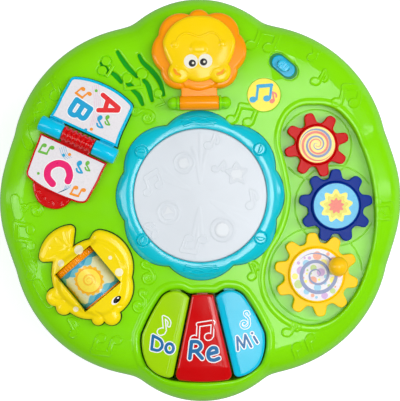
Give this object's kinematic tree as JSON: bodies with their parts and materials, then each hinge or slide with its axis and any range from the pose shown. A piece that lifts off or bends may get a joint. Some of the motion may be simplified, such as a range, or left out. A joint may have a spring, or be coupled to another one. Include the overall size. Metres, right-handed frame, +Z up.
{
  "type": "musical activity table",
  "caption": "Toddler's musical activity table: lobed play panel on four legs with drum pad, hinged keys, lion flap, book, picture roller, meshed gears and power switch.",
  "frame": {"origin": "on the floor under the middle of the table", "axes": "+Z up, -Y towards the child who plays the keys, +X towards the gears"},
  "size_m": [0.38, 0.381, 0.27],
  "materials": {
    "green_shell": "glossy moulded green",
    "leg_plastic": "glossy moulded blue",
    "foot_rubber": "satin rubber",
    "steel": "turned steel",
    "cyan_plastic": "glossy moulded cyan",
    "pad_plastic": "translucent satin",
    "white_plastic": "satin moulded",
    "circuit_board": "lacquered board",
    "orange_plastic": "glossy moulded orange",
    "yellow_plastic": "glossy moulded yellow",
    "mirror_film": "polished",
    "printed_label": "printed film",
    "red_plastic": "glossy moulded red",
    "black_plastic": "satin moulded",
    "dome_rubber": "silicone rubber",
    "lime_plastic": "glossy moulded lime",
    "blue_plastic": "glossy moulded blue",
    "paper_cone": "pressed paper",
    "cell_metal": "printed steel can"
  },
  "bodies": {
    "table": {"top_panel": "green_shell", "gear_well": "green_shell", "flap_posts": "green_shell", "bottom_housing": "green_shell", "housing_screws": "steel", "leg_front_left": "leg_plastic", "leg_front_right": "leg_plastic", "leg_back_left": "leg_plastic", "leg_back_right": "leg_plastic", "foot_front_left": "foot_rubber", "foot_front_right": "foot_rubber", "foot_back_left": "foot_rubber", "foot_back_right": "foot_rubber", "drum_bezel": "cyan_plastic", "drum_tray": "white_plastic", "drum_light_board": "circuit_board", "drum_springs": "steel", "lion_hinge_pin": "steel", "lion_mirror": "mirror_film", "book_base": "cyan_plastic", "book_base_label": "printed_label", "book_hinge_pin": "steel", "fish_shell": "yellow_plastic", "roller_axle": "steel", "roller_cradle": "black_plastic", "key_hinge_rod": "steel", "key_dome_left": "dome_rubber", "key_dome_middle": "dome_rubber", "key_dome_right": "dome_rubber", "key_board": "circuit_board", "gear_screws": "steel", "switch_plate": "cyan_plastic", "switch_body": "black_plastic", "round_badge": "printed_label", "speaker_frame": "black_plastic", "speaker_cone": "paper_cone", "speaker_magnet": "steel", "main_board": "circuit_board", "battery_door": "green_shell", "battery_door_screw": "steel", "battery_cells": "cell_metal"},
    "drum_pad_body": {"drum_pad": "pad_plastic"},
    "lion_flap": {"lion_mane": "orange_plastic", "lion_face": "yellow_plastic"},
    "page": {"book_page": "red_plastic", "book_page_label": "printed_label"},
    "roller": {"picture_roller": "orange_plastic", "roller_picture": "printed_label"},
    "left_key": {"key_left": "lime_plastic"},
    "middle_key": {"key_middle": "red_plastic"},
    "right_key": {"key_right": "cyan_plastic"},
    "yellow_gear_body": {"yellow_gear": "yellow_plastic", "yellow_gear_label": "printed_label"},
    "blue_gear_body": {"blue_gear": "blue_plastic", "blue_gear_label": "printed_label"},
    "red_gear_body": {"red_gear": "red_plastic", "red_gear_label": "printed_label"},
    "knob": {"gear_knob": "yellow_plastic"},
    "slider": {"switch_slider": "cyan_plastic"}
  },
  "joints": [
    {"name": "drum_press", "type": "slide", "parent": "table", "child": "drum_pad_body", "axis": [0, 0, -1], "range_m": [0, 0.0015], "stiffness_N_per_m": 1500, "springref_m": -0.002, "deforming": ["drum_springs"]},
    {"name": "lion_lift", "type": "hinge", "parent": "table", "child": "lion_flap", "pos_m": [0.0005, 0.0898, 0.2575], "axis": [1, 0, 0], "range_deg": [0, 110]},
    {"name": "page_turn", "type": "hinge", "parent": "table", "child": "page", "pos_m": [-0.1118, 0.0575, 0.258], "axis": [-0.9033, 0.4289, 0], "range_deg": [0, 172]},
    {"name": "roller_spin", "type": "hinge", "parent": "table", "child": "roller", "pos_m": [-0.1049, -0.0706, 0.2389], "axis": [0.6307, -0.776, 0], "continuous": true},
    {"name": "left_key_press", "type": "hinge", "parent": "table", "child": "left_key", "pos_m": [0.0008, -0.0795, 0.241], "axis": [1, 0, 0], "range_deg": [0, 3], "stiffness_Nm_per_rad": 1, "springref_deg": -3.44, "deforming": ["key_dome_left"]},
    {"name": "middle_key_press", "type": "hinge", "parent": "table", "child": "middle_key", "pos_m": [0.0008, -0.0795, 0.241], "axis": [1, 0, 0], "range_deg": [0, 3], "stiffness_Nm_per_rad": 1, "springref_deg": -3.44, "deforming": ["key_dome_middle"]},
    {"name": "right_key_press", "type": "hinge", "parent": "table", "child": "right_key", "pos_m": [0.0008, -0.0795, 0.241], "axis": [1, 0, 0], "range_deg": [0, 3], "stiffness_Nm_per_rad": 1, "springref_deg": -3.44, "deforming": ["key_dome_right"]},
    {"name": "yellow_gear_spin", "type": "hinge", "parent": "table", "child": "yellow_gear_body", "pos_m": [0.107, -0.07073, 0.244], "axis": [0, 0, 1], "continuous": true},
    {"name": "blue_gear_spin", "type": "hinge", "parent": "table", "child": "blue_gear_body", "pos_m": [0.126, -0.007, 0.244], "axis": [0, 0, 1], "continuous": true},
    {"name": "red_gear_spin", "type": "hinge", "parent": "table", "child": "red_gear_body", "pos_m": [0.109, 0.05002, 0.244], "axis": [0, 0, 1], "continuous": true},
    {"name": "knob_spin", "type": "hinge", "parent": "yellow_gear_body", "child": "knob", "pos_m": [0.12587, -0.06272, 0.258], "axis": [0, 0, 1], "continuous": true},
    {"name": "power_slide", "type": "slide", "parent": "table", "child": "slider", "axis": [0.7547, -0.6561, 0], "range_m": [-0.0035, 0.0035]}
  ],
  "couplings": [
    {"joint": "blue_gear_spin", "follows": "yellow_gear_spin", "ratio": -1.1111},
    {"joint": "red_gear_spin", "follows": "yellow_gear_spin", "ratio": 1.25}
  ]
}
